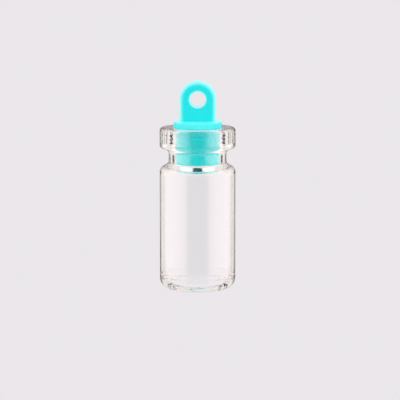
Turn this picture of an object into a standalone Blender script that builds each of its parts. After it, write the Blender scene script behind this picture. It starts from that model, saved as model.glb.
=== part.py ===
"""Gold sample vial: a small clear glass vial and its moulded push-in stopper with a hanging ear.

Metres, +Z up. The origin is the centre of the base, on the surface that the vial stands on.
The ear of the stopper faces -Y and +Y, and the stopper pulls out along +Z.
"""

import math

import bmesh
import bpy

MM = 0.001

# Glass vial, made from one piece of tube
GLASS_HEIGHT = 23.55 * MM
LIP_RADIUS = 5.5 * MM
LIP_EDGE_HEIGHT = 2.85 * MM      # from the top face down to the lower corner of the lip
LIP_UNDERSIDE_DROP = 0.6 * MM    # how much lower the underside lies where it meets the neck
NECK_RADIUS = 4.2 * MM
NECK_LENGTH = 1.85 * MM
SHOULDER_DROP = 0.75 * MM        # fall of the shoulder from the neck to the body
BODY_RADIUS = 5.5 * MM
BODY_WALL = 0.38 * MM
BORE_RADIUS = 3.38 * MM
SHOULDER_WALL = 0.45 * MM
FLOOR_HEIGHT = 0.8 * MM          # of the inner floor above the surface that the vial stands on
BASE_PUSH_UP = 0.1 * MM         # hollow in the middle of the base
STANDING_RING_INNER = 1.2 * MM   # where the hollow starts

LIP_TOP_ROUNDING = 0.45 * MM
LIP_LOWER_ROUNDING = 0.45 * MM
LIP_ROOT_ROUNDING = 0.2 * MM
NECK_FOOT_ROUNDING = 0.45 * MM
SHOULDER_ROUNDING = 0.8 * MM
HEEL_ROUNDING = 1.5 * MM
MOUTH_ROUNDING = 0.06 * MM
BORE_FOOT_ROUNDING = 0.5 * MM
INNER_SHOULDER_ROUNDING = 0.7 * MM
FLOOR_ROUNDING = 2.0 * MM

# Stopper, moulded in one piece
SLIDING_GAP = 0.03 * MM          # between the plug and the bore
SEAT_GAP = 0.03 * MM             # between the flange and the lip
PLUG_RADIUS = BORE_RADIUS - SLIDING_GAP
PLUG_TIP_RADIUS = PLUG_RADIUS - 0.06 * MM
PLUG_LENGTH = 5.5 * MM
PLUG_TIP_ROUNDING = 0.35 * MM
CORE_RADIUS = 2.0 * MM           # blind hollow moulded into the plug from below
CORE_DEPTH = 4.2 * MM
CORE_ROUNDING = 0.6 * MM
FLANGE_RADIUS = 3.5 * MM
FLANGE_THICKNESS = 0.9 * MM
FLANGE_TOP_ROUNDING = 0.2 * MM
FLANGE_SEAT_ROUNDING = 0.06 * MM
EAR_WIDTH = 5.35 * MM
EAR_THICKNESS = 1.8 * MM
EAR_HEIGHT = 5.9 * MM            # above the top of the flange
EAR_EDGE_ROUNDING = 0.8 * MM
EAR_ROOT_DEPTH = 0.4 * MM        # how far the ear is sunk into the flange before they are joined
HOLE_RADIUS = 1.15 * MM
HOLE_EDGE_ROUNDING = 0.2 * MM

TURNED_STEPS = 64
EAR_ARC_STEPS = 24
ROUNDING_STEPS = 5
MERGE = 1e-7
SHARP_ANGLE = math.radians(35)


def clear_scene():
    """Removes every object that is already in the scene."""
    for old in list(bpy.data.objects):
        bpy.data.objects.remove(old, do_unlink=True)


def make_material(name, colour, roughness, metallic):
    """A Principled material."""
    material = bpy.data.materials.new(name)
    material.use_nodes = True
    shader = material.node_tree.nodes["Principled BSDF"]
    shader.inputs["Base Color"].default_value = (*colour, 1.0)
    shader.inputs["Roughness"].default_value = roughness
    shader.inputs["Metallic"].default_value = metallic
    material.diffuse_color = (*colour, 1.0)
    return material


def rounded_outline(corners):
    """Points along an outline of (radius, height, rounding) corners, each rounded by an arc."""
    points = []
    for index, (radius, height, rounding) in enumerate(corners):
        if rounding == 0.0:
            points.append((radius, height))
            continue
        before = corners[index - 1]
        after = corners[index + 1]
        points += corner_arc((radius, height), before[:2], after[:2], rounding)
    return points


def corner_arc(corner, before, after, rounding):
    """Points of the arc of this radius that touches both sides of a corner."""
    in_angle = math.atan2(before[1] - corner[1], before[0] - corner[0])
    out_angle = math.atan2(after[1] - corner[1], after[0] - corner[0])
    turn = (out_angle - in_angle + math.pi) % (2.0 * math.pi) - math.pi
    middle_angle = in_angle + turn / 2.0
    reach = rounding / math.sin(abs(turn) / 2.0)
    centre_x = corner[0] + reach * math.cos(middle_angle)
    centre_y = corner[1] + reach * math.sin(middle_angle)
    # the arc is seen from its centre under the supplement of the corner's angle
    sweep = math.copysign(math.pi - abs(turn), turn)
    start = middle_angle + math.pi + sweep / 2.0
    points = []
    for step in range(ROUNDING_STEPS + 1):
        angle = start - sweep * step / ROUNDING_STEPS
        points.append(
            (centre_x + rounding * math.cos(angle), centre_y + rounding * math.sin(angle))
        )
    return points


def turned_mesh(name, outline):
    """Spins an outline of (radius, height) points, which starts and ends on the axis, into a solid."""
    shape = bmesh.new()
    vertices = [shape.verts.new((radius, 0.0, height)) for radius, height in outline]
    edges = [shape.edges.new(pair) for pair in zip(vertices, vertices[1:])]
    bmesh.ops.spin(
        shape,
        geom=vertices + edges,
        cent=(0.0, 0.0, 0.0),
        axis=(0.0, 0.0, 1.0),
        angle=2.0 * math.pi,
        steps=TURNED_STEPS,
    )
    bmesh.ops.remove_doubles(shape, verts=shape.verts, dist=MERGE)
    bmesh.ops.recalc_face_normals(shape, faces=shape.faces)
    mesh = bpy.data.meshes.new(name)
    shape.to_mesh(mesh)
    shape.free()
    return mesh


def add_object(name, mesh, material=None):
    """A new object in the scene with this mesh and material."""
    new = bpy.data.objects.new(name, mesh)
    bpy.context.scene.collection.objects.link(new)
    if material is not None:
        mesh.materials.append(material)
    return new


def shade_round(mesh):
    """Smooth shading, with the real corners kept sharp."""
    mesh.shade_smooth()
    mesh.set_sharp_from_angle(angle=SHARP_ANGLE)


def glass_outline():
    """The glass wall's outline: up the inside from the floor, over the lip and down the outside."""
    lip_corner_height = GLASS_HEIGHT - LIP_EDGE_HEIGHT
    lip_root_height = lip_corner_height - LIP_UNDERSIDE_DROP
    neck_foot_height = lip_root_height - NECK_LENGTH
    shoulder_height = neck_foot_height - SHOULDER_DROP
    inner_radius = BODY_RADIUS - BODY_WALL
    inner_shoulder_height = shoulder_height - SHOULDER_WALL / 2.0
    bore_foot_height = neck_foot_height - SHOULDER_WALL
    return rounded_outline([
        (0.0, FLOOR_HEIGHT, 0.0),
        (inner_radius, FLOOR_HEIGHT, FLOOR_ROUNDING),
        (inner_radius, inner_shoulder_height, INNER_SHOULDER_ROUNDING),
        (BORE_RADIUS, bore_foot_height, BORE_FOOT_ROUNDING),
        (BORE_RADIUS, GLASS_HEIGHT, MOUTH_ROUNDING),
        (LIP_RADIUS, GLASS_HEIGHT, LIP_TOP_ROUNDING),
        (LIP_RADIUS, lip_corner_height, LIP_LOWER_ROUNDING),
        (NECK_RADIUS, lip_root_height, LIP_ROOT_ROUNDING),
        (NECK_RADIUS, neck_foot_height, NECK_FOOT_ROUNDING),
        (BODY_RADIUS, shoulder_height, SHOULDER_ROUNDING),
        (BODY_RADIUS, 0.0, HEEL_ROUNDING),
        (STANDING_RING_INNER, 0.0, 0.0),
        (STANDING_RING_INNER / 2.0, BASE_PUSH_UP * 0.8, 0.0),
        (0.0, BASE_PUSH_UP, 0.0),
    ])


def make_glass_vial():
    """The vial: lip, neck, shoulder, body and base in one wall of glass."""
    clear_glass = make_material("clear_glass", (0.93, 0.96, 0.95), 0.03, 0.0)
    mesh = turned_mesh("glass_vial", glass_outline())
    shade_round(mesh)
    return add_object("glass_vial", mesh, clear_glass)


def stopper_outline():
    """The stopper without its ear: up the hollow of the plug, down its outside from the flange."""
    flange_bottom = GLASS_HEIGHT + SEAT_GAP
    flange_top = flange_bottom + FLANGE_THICKNESS
    plug_bottom = flange_bottom - PLUG_LENGTH
    return rounded_outline([
        (0.0, plug_bottom + CORE_DEPTH, 0.0),
        (CORE_RADIUS, plug_bottom + CORE_DEPTH, CORE_ROUNDING),
        (CORE_RADIUS, plug_bottom, 0.0),
        (PLUG_TIP_RADIUS, plug_bottom, PLUG_TIP_ROUNDING),
        (PLUG_RADIUS, flange_bottom, 0.0),
        (FLANGE_RADIUS, flange_bottom, FLANGE_SEAT_ROUNDING),
        (FLANGE_RADIUS, flange_top, FLANGE_TOP_ROUNDING),
        (0.0, flange_top, 0.0),
    ])


def make_ear():
    """The hanging ear: an upright plate with a full round top and rounded edges."""
    flange_top = GLASS_HEIGHT + SEAT_GAP + FLANGE_THICKNESS
    half_width = EAR_WIDTH / 2.0
    arc_centre_height = flange_top + EAR_HEIGHT - half_width
    shape = bmesh.new()
    front = -EAR_THICKNESS / 2.0
    rim = [shape.verts.new((half_width, front, flange_top - EAR_ROOT_DEPTH))]
    for step in range(EAR_ARC_STEPS + 1):
        angle = math.pi * step / EAR_ARC_STEPS
        rim.append(shape.verts.new((
            half_width * math.cos(angle),
            front,
            arc_centre_height + half_width * math.sin(angle),
        )))
    rim.append(shape.verts.new((-half_width, front, flange_top - EAR_ROOT_DEPTH)))
    front_face = shape.faces.new(rim)
    pulled = bmesh.ops.extrude_face_region(shape, geom=[front_face])["geom"]
    back = [item for item in pulled if isinstance(item, bmesh.types.BMVert)]
    bmesh.ops.translate(shape, verts=back, vec=(0.0, EAR_THICKNESS, 0.0))
    bmesh.ops.recalc_face_normals(shape, faces=shape.faces)
    front_and_back = [
        edge for edge in shape.edges
        if abs(edge.verts[0].co.y - edge.verts[1].co.y) < MERGE
        and max(vertex.co.z for vertex in edge.verts) > flange_top
    ]
    bmesh.ops.bevel(
        shape,
        geom=front_and_back,
        offset=EAR_EDGE_ROUNDING,
        segments=3,
        profile=0.5,
        affect="EDGES",
        clamp_overlap=True,
    )
    mesh = bpy.data.meshes.new("ear")
    shape.to_mesh(mesh)
    shape.free()
    return add_object("ear", mesh)


def make_hole_cutter():
    """The cutter for the ear's hole: a turned bar along Y that widens at both faces of the ear."""
    hole_height = GLASS_HEIGHT + SEAT_GAP + FLANGE_THICKNESS + EAR_HEIGHT - EAR_WIDTH / 2.0
    half_thickness = EAR_THICKNESS / 2.0
    outside = half_thickness + HOLE_EDGE_ROUNDING
    flare = []
    for step in range(ROUNDING_STEPS + 1):
        angle = math.pi / 2.0 * step / ROUNDING_STEPS
        flare.append((
            HOLE_RADIUS + HOLE_EDGE_ROUNDING * (1.0 - math.cos(angle)),
            half_thickness - HOLE_EDGE_ROUNDING * (1.0 - math.sin(angle)),
        ))
    upper = flare + [(flare[-1][0], outside), (0.0, outside)]
    lower = [(radius, -height) for radius, height in reversed(upper)]
    mesh = turned_mesh("hole_cutter", lower + upper)
    cutter = add_object("hole_cutter", mesh)
    cutter.rotation_euler = (math.pi / 2.0, 0.0, 0.0)
    cutter.location = (0.0, 0.0, hole_height)
    return hide_tool(cutter)


def hide_tool(tool):
    """Marks an object as a tool of a Boolean, which is no part of the vial."""
    tool.hide_render = True
    tool.display_type = "WIRE"
    return tool


def add_boolean(target, tool, operation):
    """An exact Boolean on the target."""
    step = target.modifiers.new(operation.lower(), "BOOLEAN")
    step.operation = operation
    step.solver = "EXACT"
    step.object = tool
    return step


def make_stopper():
    """The stopper: plug, flange and ear in one moulding. It pulls out along the Z axis."""
    turquoise = make_material("turquoise_plastic", (0.03, 0.75, 0.75), 0.3, 0.0)
    mesh = turned_mesh("stopper", stopper_outline())
    stopper = add_object("stopper", mesh, turquoise)
    add_boolean(stopper, hide_tool(make_ear()), "UNION")
    add_boolean(stopper, make_hole_cutter(), "DIFFERENCE")
    shade_round(mesh)
    return stopper


clear_scene()
make_glass_vial()
make_stopper()
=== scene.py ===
"""Gold sample vial: clear glass with a thick lip, and its turquoise push-in stopper with a hanging ear.

The glass and the plug are modelled from rings that are pulled along the vial's axis, and the ear from
half a disc. Lengths are in metres, +Z is up, the vial stands at the origin, and the flat faces of the ear
look along -Y and +Y.
"""

import math

import bmesh
import bpy
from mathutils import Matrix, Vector


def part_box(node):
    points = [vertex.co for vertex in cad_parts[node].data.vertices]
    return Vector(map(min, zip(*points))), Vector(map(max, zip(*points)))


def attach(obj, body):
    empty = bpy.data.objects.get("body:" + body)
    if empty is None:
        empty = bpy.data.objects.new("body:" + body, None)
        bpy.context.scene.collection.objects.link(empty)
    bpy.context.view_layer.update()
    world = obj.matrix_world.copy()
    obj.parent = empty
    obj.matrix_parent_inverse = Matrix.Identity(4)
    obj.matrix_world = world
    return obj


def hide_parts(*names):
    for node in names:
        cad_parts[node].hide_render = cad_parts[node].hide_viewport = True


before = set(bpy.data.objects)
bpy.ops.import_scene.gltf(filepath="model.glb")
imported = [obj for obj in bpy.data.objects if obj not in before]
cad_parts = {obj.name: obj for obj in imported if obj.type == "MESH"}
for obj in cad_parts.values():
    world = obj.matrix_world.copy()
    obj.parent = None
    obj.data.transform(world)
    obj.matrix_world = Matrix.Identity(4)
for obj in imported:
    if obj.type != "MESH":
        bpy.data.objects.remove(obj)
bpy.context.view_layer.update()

MM = 0.001

# ---------------------------------------------------------------- sizes of the glass
GLASS_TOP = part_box("glass_vial")[1].z
LIP_RADIUS = 5.5 * MM
LIP_EDGE_HEIGHT = 2.85 * MM      # from the top face down to the lower corner of the lip
LIP_UNDERSIDE_DROP = 0.5 * MM    # how much lower the underside lies where it meets the neck
NECK_RADIUS = 4.2 * MM
NECK_LENGTH = 1.85 * MM
SHOULDER_DROP = 0.75 * MM        # fall of the shoulder from the neck to the body
BODY_RADIUS = 5.5 * MM
BODY_WALL = 0.38 * MM
BORE_RADIUS = 3.38 * MM
SHOULDER_WALL = 0.45 * MM
FLOOR_HEIGHT = 0.8 * MM          # of the inner floor above the surface that the vial stands on
BASE_PUSH_UP = 0.1 * MM          # hollow in the middle of the base
STANDING_RING_INNER = 1.2 * MM   # where the hollow starts

LIP_TOP_ROUNDING = 0.45 * MM
LIP_LOWER_ROUNDING = 0.45 * MM
LIP_ROOT_ROUNDING = 0.6 * MM
NECK_FOOT_ROUNDING = 0.45 * MM
SHOULDER_ROUNDING = 0.8 * MM
HEEL_ROUNDING = 1.5 * MM
MOUTH_ROUNDING = 0.06 * MM
BORE_FOOT_ROUNDING = 0.5 * MM
INNER_SHOULDER_ROUNDING = 0.7 * MM
FLOOR_ROUNDING = 2.0 * MM

# ---------------------------------------------------------------- sizes of the stopper
STOPPER_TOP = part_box("stopper")[1].z
PLUG_RADIUS = 3.35 * MM
PLUG_TIP_RADIUS = 3.29 * MM
PLUG_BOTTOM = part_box("stopper")[0].z
PLUG_TIP_ROUNDING = 0.35 * MM
CORE_RADIUS = 2.0 * MM           # blind hollow moulded into the plug from below
CORE_DEPTH = 4.2 * MM
CORE_ROUNDING = 0.6 * MM
CORE_MOUTH_ROUNDING = 0.1 * MM
SEAT_GAP = 0.03 * MM             # between the flange and the lip
FLANGE_RADIUS = 3.5 * MM
FLANGE_THICKNESS = 0.9 * MM
FLANGE_TOP_ROUNDING = 0.2 * MM
FLANGE_SEAT_ROUNDING = 0.06 * MM
FLANGE_BOTTOM = GLASS_TOP + SEAT_GAP
FLANGE_TOP = FLANGE_BOTTOM + FLANGE_THICKNESS
EAR_WIDTH = 5.35 * MM
EAR_THICKNESS = 1.8 * MM
EAR_EDGE_ROUNDING = 0.8 * MM
EAR_ROOT_DEPTH = 0.4 * MM        # how far the ear is sunk into the flange before they are joined
EAR_CENTRE = STOPPER_TOP - EAR_WIDTH / 2.0
HOLE_RADIUS = 1.15 * MM
HOLE_EDGE_ROUNDING = 0.2 * MM

# ---------------------------------------------------------------- fineness of the meshes
RING_SIDES = 192
EAR_SIDES = 128
HOLE_SIDES = 96
ROUNDING_SEGMENTS = 8
EAR_EDGE_SEGMENTS = 12
HOLE_EDGE_SEGMENTS = 6
SMOOTH_UP_TO = math.radians(35.0)
DOUBLES_APART = 0.0005 * MM
LAST_RING = 0.02                 # share of a closing ring's radius that is left before it is merged
TOUCH = 0.002 * MM               # how near a point counts as being in a place


# ---------------------------------------------------------------- modelling by hand
def start_ring(name, radius, height):
    """A new piece that is one ring of edges, left in edit mode with the ring selected."""
    bpy.ops.object.select_all(action="DESELECT")
    bpy.ops.mesh.primitive_circle_add(
        vertices=RING_SIDES, radius=radius, fill_type="NOTHING", location=(0.0, 0.0, height)
    )
    piece = bpy.context.object
    piece.name = name
    piece.data.name = name
    bpy.ops.object.transform_apply(location=True, rotation=True, scale=True)
    bpy.ops.object.mode_set(mode="EDIT")
    bpy.ops.mesh.select_mode(type="EDGE")
    bpy.ops.mesh.select_all(action="SELECT")
    return piece


def pull_ring(start, end):
    """Extrudes the selected ring from (radius, height) to (radius, height)."""
    bpy.ops.mesh.extrude_region_move(
        TRANSFORM_OT_translate={"value": (0.0, 0.0, end[1] - start[1])}
    )
    spread = end[0] / start[0]
    bpy.ops.transform.resize(value=(spread, spread, 1.0), center_override=(0.0, 0.0, end[1]))


def close_ring(start, height):
    """Pulls the selected ring in to one point on the axis."""
    pull_ring(start, (start[0] * LAST_RING, height))
    bpy.ops.mesh.merge(type="CENTER")


def select_edges(condition):
    """Selects the edges of the piece in edit mode whose ends and middle all meet a condition."""
    shape = bmesh.from_edit_mesh(bpy.context.object.data)
    for part in (*shape.faces, *shape.edges, *shape.verts):
        part.select_set(False)
    for edge in shape.edges:
        start, end = (vertex.co for vertex in edge.verts)
        if condition(start) and condition(end) and condition((start + end) / 2.0):
            edge.select_set(True)
    bmesh.update_edit_mesh(bpy.context.object.data)


def on_ring(radius, height):
    """The condition that a point lies on this ring round the axis."""
    def test(point):
        return (
            abs(math.hypot(point.x, point.y) - radius) < TOUCH
            and abs(point.z - height) < TOUCH
        )
    return test


def round_ring(before, corner, after, rounding):
    """Rounds the ring at a corner of the outline, between the corners before and after it."""
    to_before = Vector(before) - Vector(corner)
    to_after = Vector(after) - Vector(corner)
    turn = math.pi - to_before.angle(to_after)
    select_edges(on_ring(*corner))
    bpy.ops.mesh.bevel(
        offset=rounding * math.tan(turn / 2.0),
        offset_type="OFFSET",
        segments=ROUNDING_SEGMENTS,
        profile=0.5,
        affect="EDGES",
    )


def turn_outline(name, corners, closing_height, opening_height):
    """A closed turned piece from (radius, height, rounding) corners, with both ends closed on the axis."""
    piece = start_ring(name, *corners[0][:2])
    for start, end in zip(corners, corners[1:]):
        pull_ring(start[:2], end[:2])
    close_ring(corners[-1][:2], closing_height)
    select_edges(on_ring(*corners[0][:2]))
    close_ring(corners[0][:2], opening_height)
    for before, corner, after in zip(corners, corners[1:], corners[2:]):
        if corner[2] > 0.0:
            round_ring(before[:2], corner[:2], after[:2], corner[2])
    return piece


def finish_mesh(piece):
    """Leaves edit mode with the doubles merged, the faces pointing out and the shading smooth."""
    bpy.ops.mesh.select_all(action="SELECT")
    bpy.ops.mesh.remove_doubles(threshold=DOUBLES_APART)
    bpy.ops.mesh.normals_make_consistent(inside=False)
    bpy.ops.object.mode_set(mode="OBJECT")
    bpy.ops.object.select_all(action="DESELECT")
    piece.select_set(True)
    bpy.context.view_layer.objects.active = piece
    bpy.ops.object.shade_smooth_by_angle(angle=SMOOTH_UP_TO)


def apply_boolean(piece, other, operation):
    """Cuts or joins another solid, which is then removed."""
    step = piece.modifiers.new(operation.lower(), "BOOLEAN")
    step.operation = operation
    step.solver = "EXACT"
    step.object = other
    bpy.context.view_layer.objects.active = piece
    bpy.ops.object.modifier_apply(modifier=step.name)
    bpy.data.objects.remove(other, do_unlink=True)


# ---------------------------------------------------------------- the glass
def model_glass():
    """The wall of glass: base, body, shoulder, neck, lip and the same way back inside."""
    lip_corner = GLASS_TOP - LIP_EDGE_HEIGHT
    lip_root = lip_corner - LIP_UNDERSIDE_DROP
    neck_foot = lip_root - NECK_LENGTH
    shoulder = neck_foot - SHOULDER_DROP
    inner_radius = BODY_RADIUS - BODY_WALL
    corners = [
        (STANDING_RING_INNER, 0.0, 0.0),
        (BODY_RADIUS, 0.0, HEEL_ROUNDING),
        (BODY_RADIUS, shoulder, SHOULDER_ROUNDING),
        (NECK_RADIUS, neck_foot, NECK_FOOT_ROUNDING),
        (NECK_RADIUS, lip_root, LIP_ROOT_ROUNDING),
        (LIP_RADIUS, lip_corner, LIP_LOWER_ROUNDING),
        (LIP_RADIUS, GLASS_TOP, LIP_TOP_ROUNDING),
        (BORE_RADIUS, GLASS_TOP, MOUTH_ROUNDING),
        (BORE_RADIUS, neck_foot - SHOULDER_WALL, BORE_FOOT_ROUNDING),
        (inner_radius, shoulder - SHOULDER_WALL / 2.0, INNER_SHOULDER_ROUNDING),
        (inner_radius, FLOOR_HEIGHT, FLOOR_ROUNDING),
        (inner_radius / 2.0, FLOOR_HEIGHT, 0.0),
    ]
    glass = turn_outline("glass_wall", corners, FLOOR_HEIGHT, BASE_PUSH_UP)
    finish_mesh(glass)
    return glass


# ---------------------------------------------------------------- the stopper
def model_plug():
    """Plug, with its hollow from below, and flange."""
    corners = [
        (CORE_RADIUS / 2.0, PLUG_BOTTOM + CORE_DEPTH, 0.0),
        (CORE_RADIUS, PLUG_BOTTOM + CORE_DEPTH, CORE_ROUNDING),
        (CORE_RADIUS, PLUG_BOTTOM, CORE_MOUTH_ROUNDING),
        (PLUG_TIP_RADIUS, PLUG_BOTTOM, PLUG_TIP_ROUNDING),
        (PLUG_RADIUS, FLANGE_BOTTOM, 0.0),
        (FLANGE_RADIUS, FLANGE_BOTTOM, FLANGE_SEAT_ROUNDING),
        (FLANGE_RADIUS, FLANGE_TOP, FLANGE_TOP_ROUNDING),
        (FLANGE_RADIUS / 2.0, FLANGE_TOP, 0.0),
    ]
    plug = turn_outline("stopper_moulding", corners, FLANGE_TOP, PLUG_BOTTOM + CORE_DEPTH)
    finish_mesh(plug)
    return plug


def on_ear_outline(face_y):
    """The condition that a point lies on the outline of the ear's face at this y."""
    def test(point):
        reach = math.hypot(point.x, point.z - EAR_CENTRE)
        on_arc = point.z > EAR_CENTRE - TOUCH and abs(reach - EAR_WIDTH / 2.0) < TOUCH
        on_side = point.z < EAR_CENTRE + TOUCH and abs(abs(point.x) - EAR_WIDTH / 2.0) < TOUCH
        return abs(point.y - face_y) < TOUCH and (on_arc or on_side)
    return test


def model_ear():
    """The ear: half a disc, pulled down from its cut, given its thickness, and rounded at the edge."""
    front = -EAR_THICKNESS / 2.0
    bpy.ops.object.select_all(action="DESELECT")
    bpy.ops.mesh.primitive_circle_add(
        vertices=EAR_SIDES,
        radius=EAR_WIDTH / 2.0,
        fill_type="NGON",
        location=(0.0, front, EAR_CENTRE),
        rotation=(math.pi / 2.0, 0.0, 0.0),
    )
    ear = bpy.context.object
    ear.name = "ear"
    bpy.ops.object.transform_apply(location=True, rotation=True, scale=True)
    bpy.ops.object.mode_set(mode="EDIT")
    bpy.ops.mesh.select_mode(type="EDGE")
    bpy.ops.mesh.select_all(action="SELECT")
    bpy.ops.mesh.bisect(
        plane_co=(0.0, 0.0, EAR_CENTRE), plane_no=(0.0, 0.0, 1.0), clear_inner=True, use_fill=False
    )
    select_edges(lambda point: abs(point.z - EAR_CENTRE) < TOUCH)
    ear_root = FLANGE_TOP - EAR_ROOT_DEPTH
    bpy.ops.mesh.extrude_region_move(
        TRANSFORM_OT_translate={"value": (0.0, 0.0, ear_root - EAR_CENTRE)}
    )
    bpy.ops.mesh.select_all(action="SELECT")
    bpy.ops.mesh.extrude_region_move(TRANSFORM_OT_translate={"value": (0.0, EAR_THICKNESS, 0.0)})
    bpy.ops.mesh.select_all(action="SELECT")
    bpy.ops.mesh.normals_make_consistent(inside=False)
    for face_y in (front, -front):
        select_edges(on_ear_outline(face_y))
        bpy.ops.mesh.bevel(
            offset=EAR_EDGE_ROUNDING, segments=EAR_EDGE_SEGMENTS, profile=0.5, affect="EDGES"
        )
    bpy.ops.object.mode_set(mode="OBJECT")
    return ear


def model_hole_bar():
    """The round bar that leaves the hole in the ear."""
    bpy.ops.object.select_all(action="DESELECT")
    bpy.ops.mesh.primitive_cylinder_add(
        vertices=HOLE_SIDES,
        radius=HOLE_RADIUS,
        depth=2.0 * EAR_THICKNESS,
        location=(0.0, 0.0, EAR_CENTRE),
        rotation=(math.pi / 2.0, 0.0, 0.0),
    )
    bar = bpy.context.object
    bpy.ops.object.transform_apply(location=True, rotation=True, scale=True)
    return bar


def on_hole_edge(point):
    """Whether a point lies on one of the two edges of the ear's hole."""
    reach = math.hypot(point.x, point.z - EAR_CENTRE)
    return abs(abs(point.y) - EAR_THICKNESS / 2.0) < TOUCH and abs(reach - HOLE_RADIUS) < TOUCH


def model_stopper():
    """The whole moulding: the ear is joined to the flange and drilled, and the hole's edges rounded."""
    stopper = model_plug()
    ear = model_ear()
    bar = model_hole_bar()
    apply_boolean(stopper, ear, "UNION")
    apply_boolean(stopper, bar, "DIFFERENCE")
    bpy.ops.object.mode_set(mode="EDIT")
    bpy.ops.mesh.select_mode(type="EDGE")
    select_edges(on_hole_edge)
    bpy.ops.mesh.bevel(
        offset=HOLE_EDGE_ROUNDING, segments=HOLE_EDGE_SEGMENTS, profile=0.5, affect="EDGES"
    )
    finish_mesh(stopper)
    return stopper


# ---------------------------------------------------------------- node building
def add_math(tree, operation, first, second=None, third=None):
    """The result of a Math node whose inputs are sockets or numbers."""
    node = tree.nodes.new("ShaderNodeMath")
    node.operation = operation
    for socket, value in zip(node.inputs, (first, second, third)):
        if isinstance(value, bpy.types.NodeSocket):
            tree.links.new(value, socket)
        elif value is not None:
            socket.default_value = value
    return node.outputs[0]


def add_fade(tree, value, start, end):
    """0 below start, 1 above end, and a smooth rise between them."""
    node = tree.nodes.new("ShaderNodeMapRange")
    node.interpolation_type = "SMOOTHSTEP"
    tree.links.new(value, node.inputs["Value"])
    node.inputs["From Min"].default_value = start
    node.inputs["From Max"].default_value = end
    return node.outputs["Result"]


def add_noise(tree, coordinates, grains, detail=3.0):
    """Noise with this many grains in a metre along each axis."""
    mapping = tree.nodes.new("ShaderNodeMapping")
    mapping.inputs["Scale"].default_value = grains
    tree.links.new(coordinates, mapping.inputs["Vector"])
    noise = tree.nodes.new("ShaderNodeTexNoise")
    noise.inputs["Scale"].default_value = 1.0
    noise.inputs["Detail"].default_value = detail
    tree.links.new(mapping.outputs["Vector"], noise.inputs["Vector"])
    return noise.outputs["Fac"]


def add_bump(tree, height, distance, normal=None):
    """The normal that a height gives, on top of an earlier bump's normal."""
    node = tree.nodes.new("ShaderNodeBump")
    node.inputs["Distance"].default_value = distance
    tree.links.new(height, node.inputs["Height"])
    if normal is not None:
        tree.links.new(normal, node.inputs["Normal"])
    return node.outputs["Normal"]


def add_mix(tree, factor, first, second):
    """A mix of two colours, each a socket or a colour."""
    node = tree.nodes.new("ShaderNodeMix")
    node.data_type = "RGBA"
    tree.links.new(factor, node.inputs[0])
    for socket, value in ((node.inputs[6], first), (node.inputs[7], second)):
        if isinstance(value, tuple):
            socket.default_value = (*value, 1.0)
        else:
            tree.links.new(value, socket)
    return node.outputs[2]


# ---------------------------------------------------------------- materials
RIPPLE_PITCH = 0.63 * MM         # of the tool ripples round the lip
RIPPLE_DEPTH = 0.012 * MM
DRAW_LINE_DEPTH = 0.012 * MM
WAVE_DEPTH = 0.02 * MM
GRAIN_DEPTH = 0.0012 * MM
SEAM_DEPTH = 0.03 * MM

# The plug tip, plug and flange are painted lighter than the ear's turquoise: painted light for the light
# reaching the plug down through the glass and falling on the flange.
PLUG_TIP_PAINTED_LIGHT_COLOUR = (0.0, 1.0, 0.98)
PLUG_PAINTED_LIGHT_COLOUR = (0.0, 0.78, 0.78)
FLANGE_PAINTED_LIGHT_COLOUR = (0.08, 0.78, 0.8)
EAR_COLOUR = (0.013, 0.66, 0.67)
PAINTED_GLOW_COLOUR = (0.42, 0.98, 1.0)  # painted glow at the ear's thin edge and hole rim, for light passing through the plastic
# Where the painted glow starts and ends at the ear's edge, and how wide and strong it is at the hole's
# rim.
GLOW_EDGE_START = EAR_WIDTH / 2.0 - 0.9 * MM
GLOW_EDGE_END = EAR_WIDTH / 2.0 + 0.1 * MM
GLOW_RIM_WIDTH = 0.25 * MM
GLOW_RIM_STRENGTH = 0.8
DEEP_COLOUR = (0.0, 0.5, 0.52)   # of the clouds in the dye
CLOUD_STRENGTH = 0.16

PLUG_ROUGHNESS = 0.18
SATIN_ROUGHNESS = 0.25           # added above the lip
RUBBED_ROUGHNESS = 0.2           # added where the surface is rubbed most

# How many grains of each noise fit in a metre, along x, y and z.
DRAW_LINES = (1300.0, 1300.0, 35.0)
CLOUDS = (420.0, 420.0, 260.0)
RUB_MARKS = (900.0, 900.0, 2600.0)
GRAIN = (9000.0, 9000.0, 9000.0)
WAVES = (500.0, 500.0, 700.0)


def new_material(name):
    """A material, its node tree and its shader."""
    material = bpy.data.materials.new(name)
    material.use_nodes = True
    return material, material.node_tree, material.node_tree.nodes["Principled BSDF"]


def add_place(tree):
    """The point on the piece, and its x, y and z."""
    place = tree.nodes.new("ShaderNodeTexCoord").outputs["Object"]
    split = tree.nodes.new("ShaderNodeSeparateXYZ")
    tree.links.new(place, split.inputs[0])
    return place, *split.outputs


def glass_material():
    """Clear polished glass: draw lines run along the tube, and tool ripples run round the lip."""
    material, tree, shader = new_material("clear_glass")
    shader.inputs["Base Color"].default_value = (1.0, 1.0, 1.0, 1.0)
    shader.inputs["Roughness"].default_value = 0.0
    shader.inputs["IOR"].default_value = 1.5
    shader.inputs["Transmission Weight"].default_value = 1.0
    place, _, _, height = add_place(tree)
    draw_lines = add_noise(tree, place, DRAW_LINES)
    ripple = tree.nodes.new("ShaderNodeTexWave")
    ripple.bands_direction = "Z"
    ripple.inputs["Scale"].default_value = math.pi / 10.0 / RIPPLE_PITCH   # one band per pitch
    ripple.inputs["Distortion"].default_value = 2.5
    ripple.inputs["Detail"].default_value = 2.0
    ripple.inputs["Detail Scale"].default_value = 1.2
    tree.links.new(place, ripple.inputs["Vector"])
    lip_root = GLASS_TOP - LIP_EDGE_HEIGHT - LIP_UNDERSIDE_DROP
    on_lip = add_fade(tree, height, lip_root, lip_root + 0.5 * MM)
    ripples = add_math(tree, "MULTIPLY", ripple.outputs["Fac"], on_lip)
    normal = add_bump(tree, draw_lines, DRAW_LINE_DEPTH)
    normal = add_bump(tree, ripples, RIPPLE_DEPTH, normal)
    tree.links.new(normal, shader.inputs["Normal"])
    return material


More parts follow.
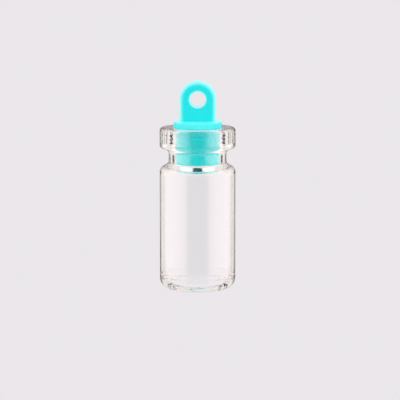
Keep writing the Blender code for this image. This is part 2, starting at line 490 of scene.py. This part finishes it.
def add_reach(tree, across, rise):
    """The distance from the hole's axis, from the two lengths at right angles to it."""
    square_rise = add_math(tree, "MULTIPLY", rise, rise)
    square_across = add_math(tree, "MULTIPLY", across, across)
    return add_math(tree, "SQRT", add_math(tree, "ADD", square_rise, square_across))


def add_painted_glow(tree, across, off_middle, height):
    """The share of the painted glow: 1 at the ear's rounded edge and the hole's rim, where light through
    the thin plastic is painted in, and 0 where the ear is thick.
    """
    rise = add_math(tree, "SUBTRACT", height, EAR_CENTRE)
    reach = add_reach(tree, across, add_math(tree, "MAXIMUM", rise, 0.0))
    edge = add_fade(tree, reach, GLOW_EDGE_START, GLOW_EDGE_END)
    near_face = add_fade(tree, off_middle, -0.3 * MM, 0.6 * MM)
    glow_edge = add_math(tree, "MULTIPLY", add_math(tree, "POWER", edge, 2.0), near_face)
    round_hole = add_reach(tree, across, rise)
    rim = add_fade(tree, round_hole, HOLE_RADIUS + GLOW_RIM_WIDTH, HOLE_RADIUS)
    glow_rim = add_math(tree, "MULTIPLY", rim, GLOW_RIM_STRENGTH)
    return add_math(tree, "MAXIMUM", glow_edge, glow_rim)


def add_plastic_colour(tree, place, across, off_middle, height, in_flange):
    """The turquoise of plug tip, plug, flange and ear, with clouds in the dye: plug tip, plug and flange
    are painted lighter than the ear as painted light, and the ear's edge and hole rim carry a painted
    glow.
    """
    # The plug below the lip is painted lighter still, painted light for the light reaching it down through
    # the glass.
    in_lip = add_fade(tree, height, GLASS_TOP - 4.2 * MM, GLASS_TOP - 2.6 * MM)
    in_ear = add_fade(tree, height, FLANGE_TOP - 0.15 * MM, FLANGE_TOP + 0.1 * MM)
    # The ear's edge and hole rim are painted paler: a painted glow standing in for light passing through
    # the thin plastic.
    painted_glow = add_painted_glow(tree, across, off_middle, height)
    ear_colour_and_glow = add_mix(tree, painted_glow, EAR_COLOUR, PAINTED_GLOW_COLOUR)
    colour = add_mix(tree, in_lip, PLUG_TIP_PAINTED_LIGHT_COLOUR, PLUG_PAINTED_LIGHT_COLOUR)
    # The flange is painted paler, painted light for the light falling on it from above.
    colour = add_mix(tree, in_flange, colour, FLANGE_PAINTED_LIGHT_COLOUR)
    colour = add_mix(tree, in_ear, colour, ear_colour_and_glow)
    cloudy = add_fade(tree, add_noise(tree, place, CLOUDS), 0.35, 0.8)
    return add_mix(
        tree, add_math(tree, "MULTIPLY", cloudy, CLOUD_STRENGTH), colour, DEEP_COLOUR
    )


def plastic_material():
    """Turquoise moulded plastic: polished where the plug is squeezed, satin above the lip."""
    material, tree, shader = new_material("turquoise_plastic")
    shader.inputs["Specular IOR Level"].default_value = 0.15
    shader.inputs["Sheen Weight"].default_value = 0.4
    shader.inputs["Sheen Roughness"].default_value = 0.2
    shader.inputs["Coat IOR"].default_value = 2.2
    shader.inputs["Coat Roughness"].default_value = 0.15
    place, across, outward, height = add_place(tree)
    off_middle = add_math(tree, "ABSOLUTE", outward)
    in_flange = add_fade(tree, height, GLASS_TOP - 0.1 * MM, GLASS_TOP + 0.1 * MM)
    # The colour holds painted light: a lighter plug and flange, and a painted glow at the ear's edge and
    # hole rim.
    colour = add_plastic_colour(tree, place, across, off_middle, height, in_flange)
    tree.links.new(colour, shader.inputs["Base Color"])
    tree.links.new(add_math(tree, "SUBTRACT", 1.0, in_flange), shader.inputs["Coat Weight"])
    satin = add_math(tree, "MULTIPLY_ADD", in_flange, SATIN_ROUGHNESS, PLUG_ROUGHNESS)
    rubbed = add_noise(tree, place, RUB_MARKS)
    roughness = add_math(tree, "MULTIPLY_ADD", rubbed, RUBBED_ROUGHNESS, satin)
    tree.links.new(roughness, shader.inputs["Roughness"])
    seam = add_math(tree, "SUBTRACT", 1.0, add_fade(tree, off_middle, 0.02 * MM, 0.07 * MM))
    normal = add_bump(tree, add_noise(tree, place, WAVES, 1.0), WAVE_DEPTH)
    normal = add_bump(tree, add_noise(tree, place, GRAIN, 2.0), GRAIN_DEPTH, normal)
    normal = add_bump(tree, add_math(tree, "MULTIPLY", seam, in_flange), SEAM_DEPTH, normal)
    tree.links.new(normal, shader.inputs["Normal"])
    return material


# ---------------------------------------------------------------- studio
PAPER = (0.83, 0.80, 0.825)
PAPER_THROUGH = (0.865, 0.83, 0.855)
SOFT_BOX = (1.35, 1.15, 1.12)
EDGE_GREY = (0.7, 0.68, 0.6)
WARM_PAPER = (0.84, 0.81, 0.74)
GAP = (0.04, 0.04, 0.04)
CAMERA_SIDE = (0.02, 0.08, 0.08)  # the dark side of the tent, where the camera stands
BELOW_LIGHT = (1.5, 1.5, 1.5)    # what lights the matt surfaces from below and from above
ABOVE_LIGHT = (1.6, 1.6, 1.6)
LIT_BY = 4.0                     # the ramps hold brightness divided by this
DEEP_AFTER = 2.5                 # passes through glass after which a ray counts as deep inside

FLOOR_SIDES = 128
FLOOR_RADIUS = 3.0
FLOOR_DROP = 0.01 * MM           # keeps the floor clear of the base

CAMERA_AIM = (0.35 * MM, 0.0, 12.9 * MM)
CAMERA_DISTANCE = 0.334
CAMERA_DOWN = math.radians(8.4)
CAMERA_FIELD = 58.3 * MM         # what it sees from side to side at the vial
CAMERA_SENSOR = 36.0
LIGHT_BOUNCES = 32


def dimmed(colour, share):
    """A share of a colour's brightness."""
    return tuple(share * channel for channel in colour)


def make_floor():
    """The pale paper that the vial stands on."""
    bpy.ops.object.select_all(action="DESELECT")
    bpy.ops.mesh.primitive_circle_add(
        vertices=FLOOR_SIDES,
        radius=FLOOR_RADIUS,
        fill_type="NGON",
        location=(0.0, 0.0, -FLOOR_DROP),
    )
    floor = bpy.context.object
    floor.name = "paper_floor"
    material, _, shader = new_material("pale_paper")
    shader.inputs["Base Color"].default_value = (0.0, 0.0, 0.0, 1.0)
    shader.inputs["Specular IOR Level"].default_value = 0.0
    shader.inputs["Emission Color"].default_value = (*PAPER, 1.0)
    shader.inputs["Emission Strength"].default_value = 1.0
    floor.data.materials.append(material)
    floor.visible_glossy = False
    floor.visible_transmission = False


def add_tent_ramp(tree, angle, lowest, highest, stops):
    """The colours of the tent from (degrees, colour) stops between the lowest and highest angle."""
    node = tree.nodes.new("ShaderNodeValToRGB")
    ramp = node.color_ramp
    ramp.elements.remove(ramp.elements[-1])
    for index, (degrees, colour) in enumerate(stops):
        position = (degrees - lowest) / (highest - lowest)
        element = ramp.elements[0] if index == 0 else ramp.elements.new(position)
        element.position = position
        element.color = (*dimmed(colour, 1.0 / LIT_BY), 1.0)
    tree.links.new(angle, node.inputs["Fac"])
    return node.outputs["Color"]


def add_ray_directions(tree):
    """A ray's turn away from +Y (0 to 1), its tilt in radians, and its elevation (0 to 1)."""
    coordinates = tree.nodes.new("ShaderNodeTexCoord")
    direction = tree.nodes.new("ShaderNodeSeparateXYZ")
    tree.links.new(coordinates.outputs["Generated"], direction.inputs[0])
    turn = add_math(tree, "ARCTAN2", direction.outputs["X"], direction.outputs["Y"])
    azimuth = add_math(tree, "DIVIDE", add_math(tree, "ABSOLUTE", turn), math.pi)
    tilt = add_math(tree, "ARCSINE", direction.outputs["Z"])
    elevation = add_math(tree, "ADD", add_math(tree, "DIVIDE", tilt, math.pi), 0.5)
    return azimuth, tilt, elevation


def add_tent(tree, azimuth, tilt, path):
    """Whether a ray was mirrored, and what it meets outside, inside or through the glass."""
    def round_tent(stops):
        return add_tent_ramp(tree, azimuth, 0.0, 180.0, stops)

    camera_end = [
        (120, SOFT_BOX), (140, dimmed(SOFT_BOX, 0.75)), (152, CAMERA_SIDE), (180, CAMERA_SIDE)
    ]
    sides = [(57, SOFT_BOX), *camera_end]
    half_gap = dimmed(PAPER, 0.35)
    gaps_inside = round_tent([
        (0, PAPER), (4, PAPER), (6, half_gap), (15, half_gap), (18, WARM_PAPER),
        (39, WARM_PAPER), (41, GAP), (59, GAP), (61, PAPER), (68, PAPER), (78, SOFT_BOX),
        *camera_end,
    ])
    no_gaps = round_tent([(0, PAPER), (20, WARM_PAPER), (50, WARM_PAPER), *sides])
    gaps_outside = round_tent([(0, GAP), (35, GAP), (40, PAPER), (53, PAPER), *sides])
    through = round_tent([
        (0, PAPER_THROUGH), (50, PAPER_THROUGH), (58, EDGE_GREY), (90, EDGE_GREY),
        (100, PAPER_THROUGH), (180, PAPER_THROUGH),
    ])
    above_gaps = add_fade(tree, tilt, math.radians(-2.0), math.radians(3.0))
    inside = add_mix(tree, above_gaps, gaps_inside, no_gaps)
    is_mirrored = add_math(tree, "GREATER_THAN", path.outputs["Glossy Depth"], 0.5)
    is_entered = add_math(tree, "GREATER_THAN", path.outputs["Transmission Depth"], 0.5)
    level = add_mix(tree, is_mirrored, through, add_mix(tree, is_entered, gaps_outside, inside))
    not_down = add_fade(tree, tilt, math.radians(-28.0), math.radians(-14.0))
    return is_mirrored, add_mix(tree, not_down, dimmed(PAPER, 1.0 / LIT_BY), level)


def add_deep_tent(tree, azimuth, tilt):
    """What a ray meets that was mirrored deep inside the glass, as beside the plug."""
    deep_inside = add_tent_ramp(tree, azimuth, 0.0, 180.0, [
        (0, PAPER), (30, SOFT_BOX), (95, SOFT_BOX), (128, dimmed(SOFT_BOX, 0.65)),
        (142, dimmed(SOFT_BOX, 0.33)), (153, dimmed(SOFT_BOX, 0.12)), (165, CAMERA_SIDE),
        (180, CAMERA_SIDE),
    ])
    not_steep = add_fade(tree, tilt, math.radians(-55.0), math.radians(-40.0))
    return add_mix(tree, not_steep, dimmed(PAPER, 1.0 / LIT_BY), deep_inside)


def make_studio_light():
    """A light tent: paper behind and below, dark gaps beside it, soft boxes at both sides.

    Its colours differ for rays seen through the glass, mirrored on it or in it, and scattered.
    """
    world = bpy.data.worlds.new("light_tent")
    bpy.context.scene.world = world
    world.use_nodes = True
    world.cycles.sampling_method = "NONE"
    tree = world.node_tree
    tree.nodes.clear()
    azimuth, tilt, elevation = add_ray_directions(tree)
    path = tree.nodes.new("ShaderNodeLightPath")
    is_mirrored, grounded = add_tent(tree, azimuth, tilt, path)
    deep = add_deep_tent(tree, azimuth, tilt)
    soft = add_tent_ramp(tree, elevation, -90.0, 90.0, [
        (-90, BELOW_LIGHT), (0, BELOW_LIGHT), (20, ABOVE_LIGHT), (90, ABOVE_LIGHT),
    ])
    is_deep = add_math(tree, "GREATER_THAN", path.outputs["Transmission Depth"], DEEP_AFTER)
    is_scattered = add_math(tree, "GREATER_THAN", path.outputs["Diffuse Depth"], 0.5)
    seen = add_mix(tree, add_math(tree, "MULTIPLY", is_mirrored, is_deep), grounded, deep)
    lit = add_mix(tree, is_scattered, seen, soft)
    total = add_mix(tree, path.outputs["Is Camera Ray"], lit, dimmed(PAPER, 1.0 / LIT_BY))
    background = tree.nodes.new("ShaderNodeBackground")
    background.inputs["Strength"].default_value = LIT_BY
    output = tree.nodes.new("ShaderNodeOutputWorld")
    tree.links.new(total, background.inputs["Color"])
    tree.links.new(background.outputs[0], output.inputs["Surface"])
    bpy.context.scene.view_settings.view_transform = "Standard"


def allow_long_paths():
    """Lets light bounce on inside the thick glass instead of ending in black."""
    paths = bpy.context.scene.cycles
    paths.max_bounces = LIGHT_BOUNCES
    paths.glossy_bounces = LIGHT_BOUNCES
    paths.transmission_bounces = LIGHT_BOUNCES


def make_camera():
    """The camera, in front of the vial and looking slightly down at it."""
    camera = bpy.data.objects.new("camera", bpy.data.cameras.new("camera"))
    bpy.context.scene.collection.objects.link(camera)
    back = CAMERA_DISTANCE * math.cos(CAMERA_DOWN)
    up = CAMERA_DISTANCE * math.sin(CAMERA_DOWN)
    camera.location = Vector(CAMERA_AIM) + Vector((0.0, -back, up))
    camera.rotation_euler = (math.pi / 2.0 - CAMERA_DOWN, 0.0, 0.0)
    camera.data.sensor_width = CAMERA_SENSOR
    camera.data.angle = 2.0 * math.atan(CAMERA_FIELD / 2.0 / CAMERA_DISTANCE)
    bpy.context.scene.camera = camera


# ---------------------------------------------------------------- putting it together
glass = model_glass()
glass.data.materials.append(glass_material())
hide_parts("glass_vial")
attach(glass, "vial")

stopper = model_stopper()
stopper.data.materials.append(plastic_material())
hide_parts("stopper")
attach(stopper, "stopper")

make_floor()
make_studio_light()
allow_long_paths()
make_camera()
